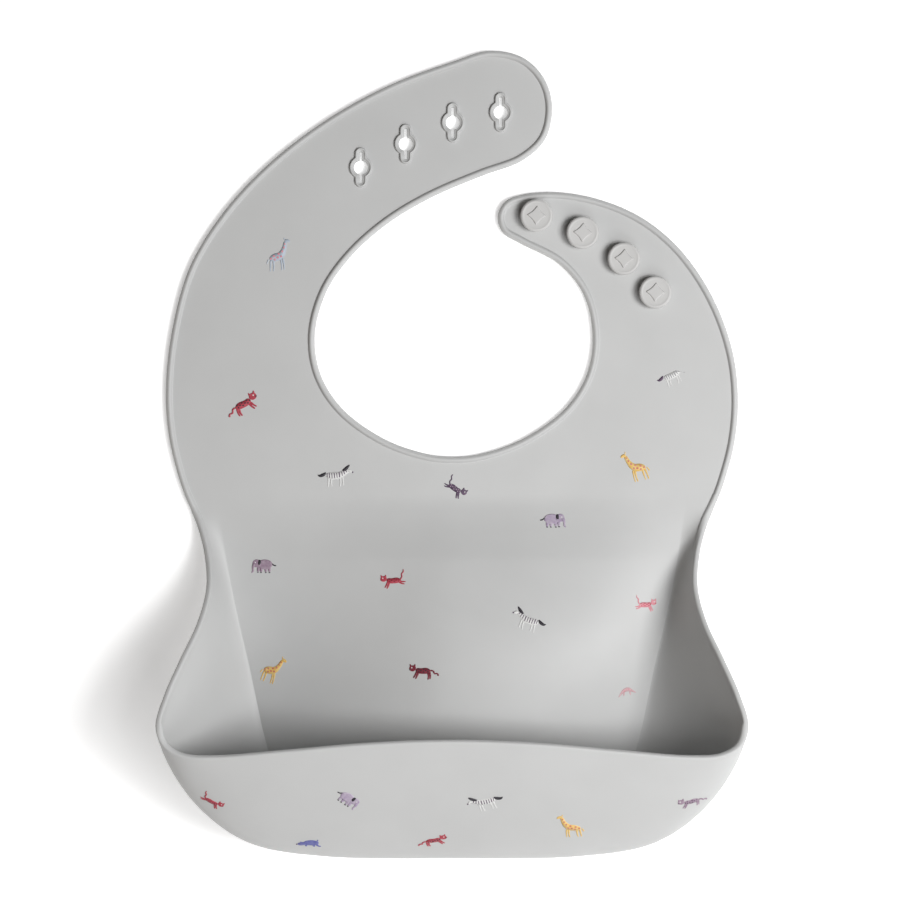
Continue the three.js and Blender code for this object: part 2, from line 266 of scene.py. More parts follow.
def make_piece(bm, name, *materials):
    """Brings a mesh to metres and makes it a smooth-shaded object."""
    bmesh.ops.scale(bm, vec=(MM, MM, MM), verts=bm.verts)
    for face in bm.faces:
        face.smooth = True
    mesh = bpy.data.meshes.new(name)
    bm.to_mesh(mesh)
    bm.free()
    for material in materials:
        mesh.materials.append(material)
    piece = bpy.data.objects.new(name, mesh)
    bpy.context.scene.collection.objects.link(piece)
    return piece


# ---- materials ----


def new_material(name):
    material = bpy.data.materials.new(name)
    material.use_nodes = True
    return material, material.node_tree.nodes, material.node_tree.links


def noise(nodes, links, coordinates, scale, detail):
    texture = nodes.new("ShaderNodeTexNoise")
    texture.inputs["Scale"].default_value = scale
    texture.inputs["Detail"].default_value = detail
    links.new(coordinates.outputs["Object"], texture.inputs["Vector"])
    return texture


def ramp(nodes, links, source, low, high):
    """A noise turned into shades between two colours."""
    shades = nodes.new("ShaderNodeValToRGB")
    shades.color_ramp.elements[0].position = 0.3
    shades.color_ramp.elements[1].position = 0.7
    shades.color_ramp.elements[0].color = (*low, 1)
    shades.color_ramp.elements[1].color = (*high, 1)
    links.new(source.outputs["Fac"], shades.inputs["Fac"])
    return shades


def silicone_material(name, colour):
    """Satin silicone: a faint mottle in its colour, a fine moulded grain and very shallow waves."""
    material, nodes, links = new_material(name)
    shader = nodes["Principled BSDF"]
    shader.inputs["IOR"].default_value = 1.41
    shader.inputs["Sheen Weight"].default_value = 0.08
    shader.inputs["Sheen Roughness"].default_value = 0.5
    coordinates = nodes.new("ShaderNodeTexCoord")
    mottle = noise(nodes, links, coordinates, 38, 4)
    shades = ramp(nodes, links, mottle, [c * 0.975 for c in colour], [min(c * 1.02, 1) for c in colour])
    links.new(shades.outputs["Color"], shader.inputs["Base Color"])
    grain = noise(nodes, links, coordinates, 2600, 3)
    roughness = nodes.new("ShaderNodeMapRange")
    roughness.inputs["To Min"].default_value = 0.46
    roughness.inputs["To Max"].default_value = 0.6
    links.new(grain.outputs["Fac"], roughness.inputs["Value"])
    links.new(roughness.outputs["Result"], shader.inputs["Roughness"])
    waves = noise(nodes, links, coordinates, 22, 1)
    wave_bump = nodes.new("ShaderNodeBump")
    wave_bump.inputs["Strength"].default_value = 0.12
    wave_bump.inputs["Distance"].default_value = 0.004
    links.new(waves.outputs["Fac"], wave_bump.inputs["Height"])
    grain_bump = nodes.new("ShaderNodeBump")
    grain_bump.inputs["Strength"].default_value = 0.12
    grain_bump.inputs["Distance"].default_value = 0.00006
    links.new(grain.outputs["Fac"], grain_bump.inputs["Height"])
    links.new(wave_bump.outputs["Normal"], grain_bump.inputs["Normal"])
    links.new(grain_bump.outputs["Normal"], shader.inputs["Normal"])
    return material


def ink_material(name, colour, wash):
    """Pad-printed ink with the uneven cover of a watercolour."""
    material, nodes, links = new_material(name)
    shader = nodes["Principled BSDF"]
    shader.inputs["Roughness"].default_value = 0.55
    coordinates = nodes.new("ShaderNodeTexCoord")
    cover = noise(nodes, links, coordinates, 900, 4)
    shades = ramp(nodes, links, cover, colour, wash)
    links.new(shades.outputs["Color"], shader.inputs["Base Color"])
    return material


def floor_material():
    """A pale matt table with a barely visible mottle."""
    material, nodes, links = new_material("pale_floor")
    shader = nodes["Principled BSDF"]
    shader.inputs["Roughness"].default_value = 0.9
    shader.inputs["Emission Color"].default_value = (1, 1, 1, 1)
    shader.inputs["Emission Strength"].default_value = 0.4
    coordinates = nodes.new("ShaderNodeTexCoord")
    mottle = noise(nodes, links, coordinates, 6, 3)
    shades = ramp(nodes, links, mottle, (0.93, 0.93, 0.93), (0.95, 0.95, 0.95))
    links.new(shades.outputs["Color"], shader.inputs["Base Color"])
    return material


# ---- the flat sheet ----


def whole_sheet():
    """The yoke and both straps in one flat sheet, with the bead along its edge and a rounded back edge."""
    outline = smooth_line([Vector((x, y, 0)) for x, y in EDGE], EDGE_STEPS)
    inward = [(outline[(k + 1) % len(outline)] - outline[k - 1]).cross(UP).normalized()
              for k in range(len(outline))]
    section = EDGE_FOOT[::-1] + BEAD

    def place(i, j):
        k = i % len(outline)
        inset, height = section[j]
        return outline[k] + inward[k] * inset + UP * height

    bm = bmesh.new()
    lay_grid(bm, len(outline), len(section) - 1, place)
    bmesh.ops.remove_doubles(bm, verts=bm.verts, dist=0.0005)
    bmesh.ops.holes_fill(bm, edges=[edge for edge in bm.edges if edge.is_boundary], sides=0)
    bmesh.ops.recalc_face_normals(bm, faces=bm.faces)
    return bm


def strap_cuts():
    """Each sheet piece's planes, as (point, outward direction)."""
    hole_start = NECK + across(HOLE_BENDS[0]) * HOLE_BEND_REACH
    button_start = NECK - across(BUTTON_BENDS[0]) * BUTTON_BEND_REACH
    middle, late = HOLE_CUTS
    point, upper = DIVIDE
    return {
        "yoke_sheet": [(hole_start, -across(HOLE_BENDS[0])), (button_start, across(BUTTON_BENDS[0])),
                       (Vector((0, YOKE_LOW, 0)), Vector((0, -1, 0)))],
        "hole_strap_root_sheet": [(hole_start, across(HOLE_BENDS[0])), (NECK, -across(middle))],
        "hole_strap_middle_sheet": [(NECK, across(middle)), (NECK, -across(late))],
        "hole_strap_end_sheet": [(NECK, across(late)), (point, -upper)],
        "button_strap_root_sheet": [(button_start, -across(BUTTON_BENDS[0])), (NECK, across(BUTTON_CUT))],
        "button_strap_end_sheet": [(NECK, -across(BUTTON_CUT)), (point, upper),
                                   (Vector((5, 0, 0)), Vector((-1, 0, 0)))],
    }


# Each strap piece: the CAD node it stands for, its two bodies, and its bend line with the side it runs to.
STRAP_PIECES = {
    "hole_strap_root_sheet": ("hole_strap_root", "bib_body", "hole_strap_lower", HOLE_BENDS[0], -1),
    "hole_strap_middle_sheet": ("hole_strap_middle", "hole_strap_lower", "hole_strap_mid", HOLE_BENDS[1], -1),
    "hole_strap_end_sheet": ("hole_strap_end", "hole_strap_mid", "hole_strap_tip", HOLE_BENDS[2], -1),
    "button_strap_root_sheet": ("button_strap_root", "bib_body", "button_strap_lower", BUTTON_BENDS[0], 1),
    "button_strap_end_sheet": (
        "button_strap_end", "button_strap_lower", "button_strap_tip", BUTTON_BENDS[1], 1,
    ),
}


def bend_reach(name):
    return HOLE_BEND_REACH if name.startswith("hole") else BUTTON_BEND_REACH


def blend_strap(piece, name):
    """Bakes the piece's placement into its mesh."""
    _, first, second, angle, side = STRAP_PIECES[name]
    reach = across(angle) * side * bend_reach(name)
    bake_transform(piece)


def keyhole_points(radius, half_width, half_length, steps):
    """Outline of a round hole with an upright slit through it."""
    reach = half_length - half_width
    meet = math.asin(half_width / radius)
    quarter = math.pi / 2
    arcs = [(0, radius, meet - quarter, quarter - meet), (reach, half_width, 0, math.pi),
            (0, radius, meet + quarter, 3 * quarter - meet), (-reach, half_width, math.pi, 2 * math.pi)]
    points = []
    for centre, size, start, end in arcs:
        for k in range(steps + 1):
            angle = start + (end - start) * k / steps
            points.append((size * math.cos(angle), centre + size * math.sin(angle)))
    return points


def cut_buttonholes(piece):
    """Cuts the strap's keyholes, a little smaller than the eyelets that line them."""
    bm = bmesh.new()
    for x, y in HOLES:
        face = outline_face(bm, [(x + u, y + v) for u, v in keyhole_points(4, 1.95, 7.15, 14)], -2)
        raise_face(bm, face, 8)
    bmesh.ops.recalc_face_normals(bm, faces=bm.faces)
    cutter = make_piece(bm, "keyhole_cutter")
    cut = piece.modifiers.new("keyholes", "BOOLEAN")
    cut.operation = "DIFFERENCE"
    cut.solver = "EXACT"
    cut.object = cutter
    graph = bpy.context.evaluated_depsgraph_get()
    mesh = bpy.data.meshes.new_from_object(piece.evaluated_get(graph))
    piece.modifiers.clear()
    mesh.set_sharp_from_angle(angle=math.radians(50))
    piece.data = mesh
    bpy.data.objects.remove(cutter)


class BIB_OT_sheet(Operator):
    """Moulds the flat yoke and the two straps, in pieces cut at the strap joints"""

    bl_idname = "bib.sheet"
    bl_label = "Yoke and Straps"

    def execute(self, context):
        silicone = silicone_material("satin_silicone", context.scene.bib.silicone)
        whole = whole_sheet()
        for name, planes in strap_cuts().items():
            bm = whole.copy()
            for point, outward in planes:
                cut_away(bm, point, outward)
            if name in STRAP_PIECES:
                angle = STRAP_PIECES[name][3]
                flex_rows(bm, NECK, across(angle), bend_reach(name))
            bmesh.ops.recalc_face_normals(bm, faces=bm.faces)
            piece = make_piece(bm, name, silicone)
            if name == "hole_strap_end_sheet":
                cut_buttonholes(piece)
            if name in STRAP_PIECES:
                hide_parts(STRAP_PIECES[name][0])
                blend_strap(piece, name)
            else:
                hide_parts("yoke")
                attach(piece, "bib_body")
        whole.free()
        return {"FINISHED"}


# ---- the chest panel and the pocket ----


def mirror_left(point):
    return Vector((-point[0], point[1], point[2]))


GUIDES = [
    [Vector(row[k]) for row in POCKET] + [mirror_left(row[k]) for row in reversed(POCKET[:-1])]
    for k in range(4)
]


def wall_cage(station):
    """The four points that shape the wall's section at a station."""
    return [along(guide, min(max(station, 0), STATIONS)) for guide in GUIDES]


def bezier(cage, t):
    a, b, c, d = cage
    s = 1 - t
    return a * s ** 3 + b * (3 * s * s * t) + c * (3 * s * t * t) + d * t ** 3


def bead_share(station):
    """How much of the bead a station of the rim carries: all at the top, little along the sides, and a
    lip across the front that starts at a notch."""
    fold = min(station, STATIONS - station)
    if fold >= NOTCH_STATION:
        return LIP_BEAD
    return 1 + (SIDE_BEAD - 1) * ease(*BEAD_FADE, fold)


def wall_section(station):
    """The wall's section at a station, as points up the inside, over the rim and down the outside."""
    step = 0.02
    cage = wall_cage(station)
    ahead, behind = wall_cage(station + step), wall_cage(station - step)
    rim_way = (ahead[3] - behind[3]).normalized()

    def frame_at(t):
        s = 0.004
        up = bezier(cage, min(t + s, 1)) - bezier(cage, max(t - s, 0))
        side = bezier(ahead, t) - bezier(behind, t)
        return bezier(cage, t), up.cross(side).normalized(), up.normalized()

    speed = ((cage[3] - cage[2]) * 3).length
    _, _, rim_up = frame_at(1)
    slant = max(rim_up.cross(rim_way).length, 0.5)
    share = bead_share(station)
    room = 1 - BEAD[-1][0] / slant / speed
    inside, outside, bead, foot = [], [], [], []
    for k in range(WALL_ROWS + 1):
        t = room * k / WALL_ROWS
        point, normal, _ = frame_at(t)
        inside.append(point + normal * FLAT)
        outside.append(point - normal * FLAT)
    for inset, height in reversed(BEAD[:-1]):
        point, normal, _ = frame_at(1 - inset / slant / speed)
        lift = min(height, SHEET) + max(height - SHEET, 0) * share
        bead.append(point + normal * (lift - FLAT))
    for inset, height in EDGE_FOOT:
        point, normal, _ = frame_at(1 - inset / slant / speed)
        foot.append(point + normal * (height - FLAT))
    return inside + bead + foot + outside[::-1]


def column_place(i):
    """How far across the panel a column of its grid lies, from -1 to 1, with more columns at the sides."""
    return math.sin(math.pi * (i / PANEL_COLUMNS - 0.5))


def panel_bulge(u, v, dome):
    """How far the panel stands forward: a ridge that falls away evenly to the left and stays level to the
    right, turning into a round dome towards the pocket's floor."""
    slope = (math.hypot(u, RIDGE_ROUND) - RIDGE_ROUND) / (math.hypot(1, RIDGE_ROUND) - RIDGE_ROUND)
    fall = slope if u < 0 else u ** RIDGE_LEVEL
    turn = ease(*ROUND_FROM, v)
    return dome * (1 - fall - (u * u - fall) * turn) * math.sin(math.pi * v ** DOME_DROP) ** DOME_POWER


def panel_point(i, j, dome, side):
    """A point of the chest panel's front (side 1) or back (side -1)."""
    u, v = column_place(i), j / PANEL_ROWS
    if j == PANEL_ROWS:
        return along(GUIDES[0], STATIONS / 2 + (STATIONS / 2 - PANEL_STATION) * u) + UP * side * FLAT
    edge = along(GUIDES[0], PANEL_STATION * v)
    return Vector((-edge.x * u, edge.y, FLAT + panel_bulge(u, v, dome) + side * FLAT))


class BIB_OT_pocket(Operator):
    """Moulds the domed chest panel and the catch pocket in one shell"""

    bl_idname = "bib.pocket"
    bl_label = "Chest Panel and Pocket"

    def execute(self, context):
        dome = context.scene.bib.dome / MM
        half_span = STATIONS / 2 - PANEL_STATION
        sides = [PANEL_STATION * k / PANEL_ROWS for k in range(PANEL_ROWS)]
        bottom = [STATIONS / 2 + half_span * column_place(k) for k in range(PANEL_COLUMNS + 1)]
        stations = sides + bottom + [STATIONS - s for s in reversed(sides)]
        sections = [wall_section(station) for station in stations]
        bm = bmesh.new()
        lay_grid(bm, PANEL_COLUMNS, PANEL_ROWS, lambda i, j: panel_point(i, j, dome, 1))
        lay_grid(bm, PANEL_COLUMNS, PANEL_ROWS, lambda i, j: panel_point(i, j, dome, -1))
        lay_grid(bm, len(stations) - 1, len(sections[0]) - 1, lambda i, j: sections[i][j])
        bmesh.ops.remove_doubles(bm, verts=bm.verts, dist=0.004)
        top = [edge for edge in bm.edges if edge.is_boundary]
        for edge in top:
            edge.smooth = False
        bmesh.ops.holes_fill(bm, edges=top, sides=0)
        bmesh.ops.recalc_face_normals(bm, faces=bm.faces)
        piece = make_piece(bm, "chest_and_pocket", bpy.data.materials["satin_silicone"])
        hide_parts("chest_panel", "pocket_floor", "pocket_side_left", "pocket_side_right",
                    "pocket_front")
        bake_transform(piece)
        return {"FINISHED"}


# ---- buttonhole eyelets and buttons ----

# The eyelet's section: distance in from its outline, and height. It closes on itself round the hole.
EYELET = [
    (0, 0.04), (0, 1.75), (0.04, 2.3), (0.18, 2.72), (0.42, 2.94), (0.68, 2.86), (0.86, 2.6), (0.96, 2.42),
    (1.42, 2.38), (1.58, 2.3), (1.66, 2.1), (1.68, 1.8), (1.68, 0.3), (1.6, 0.1), (1.42, 0.04),
]
EYELET_OUTLINE = (4.25, 2.2, 7.4)  # radius of its round part, half width and half length of its lobes
EYELET_STEPS = 14


class BIB_OT_eyelets(Operator):
    """Moulds the raised eyelets round the buttonholes"""

    bl_idname = "bib.eyelets"
    bl_label = "Buttonhole Eyelets"

    def execute(self, context):
        silicone = bpy.data.materials["satin_silicone"]
        rings = [keyhole_points(*(size - inset for size in EYELET_OUTLINE), EYELET_STEPS)
                 for inset, _ in EYELET]
        count = len(rings[0])
        for number, (x, y) in enumerate(HOLES, start=1):
            bm = bmesh.new()

            def place(i, j):
                u, v = rings[j % len(EYELET)][i % count]
                return x + u, y + v, EYELET[j % len(EYELET)][1]

            lay_grid(bm, count, len(EYELET), place)
            bmesh.ops.remove_doubles(bm, verts=bm.verts, dist=0.0005)
            bmesh.ops.recalc_face_normals(bm, faces=bm.faces)
            piece = make_piece(bm, f"eyelet_{number}", silicone)
            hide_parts(f"buttonhole_eyelet_{number}")
            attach(piece, "hole_strap_tip")
        return {"FINISHED"}


# The button's section, as radius and height, with its head's radius as 1.
STUD = [(0, 1.2), (0.64, 1.2), (0.62, 1.75), (0.53, 1.95), (0.49, 2.4), (0.48, 3.3), (0.52, 3.75),
        (0.62, 3.92), (0.84, 3.95), (0.93, 4.08), (0.985, 4.4), (1, 4.8), (1, 5.35), (0.985, 5.8),
        (0.95, 6.12), (0.9, 6.3), (0.855, 6.34), (0.82, 6.3), (0.79, 6.24), (0.75, 6.22), (0, 6.22)]
STUD_FACE = 6.22
STAR_SLOPE = [(0, -0.2), (0, 0), (0.1, 0.2), (0.26, 0.36), (0.46, 0.46), (0.72, 0.5), (1, 0.5)]
STAR_SHAPE = 0.62  # below 1 the star's sides curve inwards
STAR_TIP = 0.008  # how blunt its tips are
STAR_TURN = -4  # degrees
STAR_STEPS = 96


def star_point(reach, angle):
    """A point on the outline of a four-pointed star whose sides curve inwards."""
    along_x = (math.cos(angle) ** 2 + STAR_TIP) ** (STAR_SHAPE / 2)
    along_y = (math.sin(angle) ** 2 + STAR_TIP) ** (STAR_SHAPE / 2)
    size = reach / (along_x + along_y) ** (1 / STAR_SHAPE)
    turned = angle + math.radians(STAR_TURN)
    return size * math.cos(turned), size * math.sin(turned)


def raised_star(bm, reach):
    """A star with soft sloping sides on a button's face."""
    star = bmesh.new()

    def place(i, j):
        inset, height = STAR_SLOPE[j]
        x, y = star_point(reach * (1 - inset / reach * 1.2), 2 * math.pi * (i % STAR_STEPS) / STAR_STEPS)
        return x, y, STUD_FACE + height

    lay_grid(star, STAR_STEPS, len(STAR_SLOPE) - 1, place)
    bmesh.ops.remove_doubles(star, verts=star.verts, dist=0.0005)
    bmesh.ops.holes_fill(star, edges=[edge for edge in star.edges if edge.is_boundary], sides=0)
    join(bm, star)


class BIB_OT_buttons(Operator):
    """Moulds the mushroom buttons with a raised star on each head"""

    bl_idname = "bib.buttons"
    bl_label = "Buttons"

    def execute(self, context):
        settings = context.scene.bib
        material = silicone_material("satin_button_silicone", settings.button_colour)
        radius = settings.head_radius / MM
        for number, (x, y) in enumerate(BUTTONS, start=1):
            bm = bmesh.new()
            chain = [bm.verts.new((r * radius, 0, z)) for r, z in STUD]
            edges = [bm.edges.new(pair) for pair in zip(chain, chain[1:])]
            bmesh.ops.spin(bm, geom=chain + edges, cent=(0, 0, 0), axis=UP, angle=2 * math.pi,
                           steps=settings.button_steps, use_merge=True)
            bmesh.ops.remove_doubles(bm, verts=bm.verts, dist=0.001)
            bmesh.ops.recalc_face_normals(bm, faces=bm.faces)
            raised_star(bm, settings.star_reach / MM)
            bmesh.ops.translate(bm, vec=(x, y, 0), verts=bm.verts)
            piece = make_piece(bm, f"button_{number}", material)
            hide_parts(f"button_stud_{number}")
            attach(piece, "button_strap_tip")
        return {"FINISHED"}


# ---- printed animals ----

# Each ink: its colour and the paler wash where it lies thin.
INKS = {
    "red": ((0.38, 0.03, 0.05), (0.47, 0.07, 0.1)),
    "dark_red": ((0.15, 0.012, 0.025), (0.24, 0.03, 0.05)),
    "pink": ((0.66, 0.2, 0.25), (0.7, 0.33, 0.37)),
    "pale_pink": ((0.6, 0.34, 0.37), (0.64, 0.45, 0.47)),
    "yellow": ((0.75, 0.45, 0.09), (0.78, 0.58, 0.25)),
    "rust": ((0.55, 0.14, 0.1), (0.6, 0.25, 0.2)),
    "lilac": ((0.36, 0.28, 0.41), (0.48, 0.42, 0.5)),
    "mauve": ((0.26, 0.17, 0.24), (0.38, 0.3, 0.36)),
    "blue": ((0.08, 0.09, 0.33), (0.16, 0.17, 0.42)),
    "grey": ((0.2, 0.2, 0.22), (0.33, 0.33, 0.35)),
    "plum": ((0.055, 0.03, 0.065), (0.13, 0.08, 0.14)),
    "sky": ((0.4, 0.47, 0.56), (0.5, 0.54, 0.6)),
    "black": ((0.018, 0.016, 0.022), (0.035, 0.03, 0.04)),
    "white": ((0.74, 0.74, 0.73), (0.68, 0.68, 0.67)),
}

# Each animal faces right and is drawn in strokes of (x, y, half width) and spots of (x, y, reach across,
# reach up), each in the first, second or third of the animal's inks.
CAT_BODY = [
    (0, [(-2.1, 0, 0.42), (-2.2, -1.4, 0.3), (-1.9, -2.5, 0.22)]),
    (0, [(-2.6, 0, 0.4), (-2.8, -1.3, 0.26), (-2.6, -2.4, 0.2)]),
    (0, [(1.2, 0.2, 0.4), (1.7, -1, 0.28), (2.3, -1.9, 0.22)]),
    (0, [(1.7, 0.3, 0.4), (2.4, -0.8, 0.26), (3, -1.5, 0.2)]),
    (0, [(-3, 0.2, 0.55), (-1.6, 0.5, 0.98), (0.4, 0.6, 0.92), (2, 1.1, 0.9)]),
    (0, (3, 1.7, 1.15, 1.02)),
    (0, [(2.3, 2.2, 0.42), (2.1, 3.05, 0.12)]),
    (0, [(3.5, 2.3, 0.42), (3.8, 3.2, 0.12)]),
    (2, (3.25, 1.95, 0.2, 0.24)),
    (1, (3.9, 1.4, 0.28, 0.2)),
    (1, (-2.3, 0.9, 0.26, 0.2)), (1, (-2.1, 0.1, 0.22, 0.22)), (1, (-1.4, 0.6, 0.28, 0.2)),
    (1, (-0.7, 1.1, 0.26, 0.2)), (1, (-0.6, 0.2, 0.26, 0.22)), (1, (0.2, 0.7, 0.28, 0.22)),
    (1, (0.9, 1.2, 0.24, 0.2)), (1, (1, 0.4, 0.26, 0.2)), (1, (1.7, 0.9, 0.24, 0.24)),
]
ANIMALS = {
    "prowling_cat": CAT_BODY + [
        (0, [(-3, 0.5, 0.26), (-3.9, 0.2, 0.24), (-4.3, -0.7, 0.24), (-5.2, -0.7, 0.22), (-5.6, -1.5, 0.34)]),
    ],
    "leaping_cat": [
        (0, [(-2.4, 0.1, 0.38), (-3.6, -0.3, 0.24), (-4.6, -0.4, 0.16)]),
        (0, [(-2.2, -0.1, 0.36), (-3.2, -0.9, 0.24), (-4.1, -1.2, 0.16)]),
    ] + CAT_BODY[2:] + [
        (0, [(-2.8, 0.6, 0.24), (-3.5, 1.5, 0.2), (-3.5, 2.5, 0.2), (-4.2, 3.2, 0.18), (-4.3, 4.1, 0.12)]),
    ],
    "elephant": [
        (0, [(-2.2, -0.6, 0.55), (-2.3, -2.3, 0.42)]), (0, [(-1, -0.8, 0.55), (-1, -2.3, 0.42)]),
        (0, [(0.6, -0.8, 0.55), (0.7, -2.3, 0.42)]), (0, [(1.6, -0.6, 0.5), (1.8, -2.2, 0.4)]),
        (0, (-0.7, 0.35, 2.65, 1.75)), (0, (2.2, 0.7, 1.5, 1.4)),
        (0, [(3, 0.6, 0.7), (3.6, -0.7, 0.4), (3.6, -2, 0.28), (4.1, -2.6, 0.22)]),
        (1, [(-3.2, 0.7, 0.16), (-3.8, 0.1, 0.2), (-4.7, -0.1, 0.2)]),
        (1, [(1.3, 2, 0.3), (1.2, 1.1, 0.52), (1.5, 0.2, 0.3)]),
        (2, (2.7, 1, 0.2, 0.2)),
        (1, (-2.3, -2.5, 0.32, 0.16)), (1, (-1, -2.5, 0.32, 0.16)), (1, (0.7, -2.5, 0.32, 0.16)),
        (1, (1.8, -2.4, 0.32, 0.16)),
    ],
    "giraffe": [
        (0, [(-2, -0.8, 0.3), (-2.2, -2.4, 0.18), (-2.3, -3.7, 0.14)]),
        (0, [(-1.3, -0.8, 0.3), (-1.3, -2.4, 0.18), (-1.5, -3.7, 0.14)]),
        (0, [(0.7, -0.6, 0.3), (0.8, -2.2, 0.18), (0.7, -3.6, 0.14)]),
        (0, [(1.2, -0.4, 0.3), (1.4, -2.1, 0.18), (1.4, -3.5, 0.14)]),
        (0, [(-2.3, -0.5, 0.6), (-0.9, -0.1, 1.02), (0.7, 0.4, 0.95), (1.7, 2, 0.62), (2.2, 4, 0.42)]),
        (0, [(2, 4.1, 0.42), (2.7, 4.1, 0.42), (3.4, 3.8, 0.26)]),
        (0, [(2, 4.4, 0.14), (1.9, 5, 0.1)]), (0, [(-2.6, -0.5, 0.14), (-3.1, -1.6, 0.16)]),
        (1, (-1.9, -0.3, 0.3, 0.26)), (1, (-1.1, 0.3, 0.32, 0.28)), (1, (-0.9, -0.6, 0.3, 0.26)),
        (1, (-0.1, -0.1, 0.32, 0.28)), (1, (0.2, 0.8, 0.3, 0.28)), (1, (0.8, 0.1, 0.28, 0.28)),
        (1, (1.2, 1.4, 0.26, 0.3)), (1, (1.7, 2.4, 0.22, 0.28)), (1, (2, 3.3, 0.2, 0.24)),
    ],
    "zebra": [
        (2, [(-2, -0.4, 0.26), (-2.1, -1.8, 0.18), (-2.3, -3, 0.13)]),
        (2, [(-1.2, -0.5, 0.24), (-1.3, -1.8, 0.16), (-1.2, -2.9, 0.12)]),
        (2, [(1.2, -0.3, 0.26), (1.3, -1.7, 0.18), (1.1, -3, 0.13)]),
        (2, [(1.9, -0.1, 0.24), (2, -1.5, 0.16), (2.1, -2.7, 0.12)]),
        (2, [(-2.7, 0.3, 0.7), (-1, 0.1, 0.98), (1.2, 0.3, 0.92), (2.7, 1, 0.7), (3.8, 1.5, 0.5)]),
        (2, [(3.6, 1.5, 0.5), (4.6, 1, 0.3)]),
        (0, [(-2.4, 0.9, 0.1), (-2.3, -0.3, 0.1)]), (0, [(-1.8, 1, 0.12), (-1.7, -0.5, 0.12)]),
        (0, [(-1.1, 0.9, 0.1), (-1, -0.6, 0.1)]), (0, [(-0.4, 0.9, 0.12), (-0.3, -0.6, 0.12)]),
        (0, [(0.3, 0.9, 0.1), (0.4, -0.5, 0.1)]), (0, [(1, 1.1, 0.14), (1.1, -0.4, 0.14)]),
        (0, [(1.7, 1.2, 0.1), (1.9, 0, 0.1)]), (0, [(2.2, 1.5, 0.12), (2.6, 0.4, 0.1)]),
        (0, [(2.9, 1.6, 0.1), (3.2, 0.9, 0.1)]), (0, (4.8, 0.9, 0.2, 0.2)),
        (1, [(1.9, 1.5, 0.1), (2.7, 1.8, 0.42), (3.6, 2.6, 0.3), (4, 3, 0.08)]),
        (1, [(-2.7, 1.1, 0.14), (-3.4, 0.5, 0.44), (-4.4, 0.2, 0.34), (-5, 0.5, 0.08)]),
    ],
    "hippo": [
        (0, [(-1.9, 0, 0.5), (-2.4, -1.5, 0.32), (-3.2, -1.8, 0.26)]),
        (0, [(-1, -0.4, 0.5), (-1.2, -1.9, 0.32)]),
        (0, [(1, -0.3, 0.45), (1.3, -1.7, 0.3)]), (0, (-0.5, 0.3, 2.3, 1.4)),
        (0, [(1.2, 0.2, 0.9), (2.6, -0.3, 0.85), (3.6, -0.6, 0.7)]), (0, (2.5, 0.6, 0.3, 0.36)),
        (0, [(-2.4, 1, 0.16), (-2.7, 1.8, 0.22)]), (1, (3.9, -0.5, 0.24, 0.3)), (1, (2.9, 0, 0.16, 0.16)),
    ],
    "anteater": [
        (0, [(-1.4, 0, 0.4), (-1.8, -1.8, 0.24)]), (0, [(1.4, 0, 0.4), (1.7, -1.6, 0.24)]),
        (0, [(-4.6, -1.2, 0.14), (-3, -0.2, 0.4), (-1, 0.9, 0.85), (1, 0.9, 0.85), (2.8, -0.3, 0.5),
             (4.2, -1.8, 0.2)]),
        (1, (-1, 0.9, 0.3, 0.24)), (1, (0.2, 1.1, 0.3, 0.24)), (1, (1.2, 0.6, 0.26, 0.24)),
    ],
}

# Each print: animal, inks, place on the bib, turn in degrees, size of one drawing unit, and whether it
# faces left. Those that lie on a strap come first, in the order of PRINT_STRAPS.
PRINTS = [
    ("giraffe", ("sky", "pink"), (-64.3, 73.4), 4, 1.4, False),
    ("prowling_cat", ("red", "black", "white"), (-76.4, 18.5), 22, 1.26, False),
    ("zebra", ("grey", "plum", "white"), (81.4, 29.4), 22, 1.15, False),
    ("zebra", ("plum", "black", "white"), (-43, -7.6), 2, 1.32, False),
    ("leaping_cat", ("plum", "mauve", "white"), (1, -12.9), -40, 1.0, False),
    ("elephant", ("lilac", "black", "white"), (37.6, -23.8), 0, 1.08, False),
    ("giraffe", ("yellow", "rust"), (68.4, -4.6), 16, 1.38, True),
    ("elephant", ("mauve", "black", "white"), (-69.8, -40.6), 0, 1.05, True),
    ("leaping_cat", ("red", "dark_red", "white"), (-21.8, -46.6), 8, 1.05, True),
    ("zebra", ("plum", "black", "white"), (28, -60.4), -18, 1.3, True),
    ("leaping_cat", ("pink", "red", "white"), (71.6, -55.6), -4, 0.96, False),
    ("giraffe", ("yellow", "rust"), (-66.6, -79.4), -18, 1.3, False),
    ("prowling_cat", ("dark_red", "black", "white"), (-11, -79.2), 4, 1.1, True),
    ("anteater", ("pale_pink", "pink"), (64.4, -87), 4, 0.84, True),
    ("leaping_cat", ("red", "dark_red", "white"), (-86.2, -124.4), -44, 1.02, False),
    ("elephant", ("lilac", "black", "white"), (-37, -122.8), -48, 1.1, False),
    ("hippo", ("blue", "plum"), (-51.6, -140.4), 8, 1.22, True),
    ("prowling_cat", ("red", "black", "white"), (-6.2, -139.6), 14, 1.12, False),
    ("zebra", ("plum", "black", "white"), (12, -124), 22, 1.32, True),
    ("giraffe", ("yellow", "rust"), (43, -134), 8, 1.42, True),
    ("prowling_cat", ("mauve", "plum", "white"), (85.4, -124.4), 18, 1.1, True),
]
PRINT_STRAPS = ("hole_strap_middle_sheet", "hole_strap_root_sheet", "button_strap_root_sheet")
STROKE_STEPS = 14
INK_DEPTH = 0.2
INK_LAYER = 0.006  # how much each later part of an animal lies above the one before it


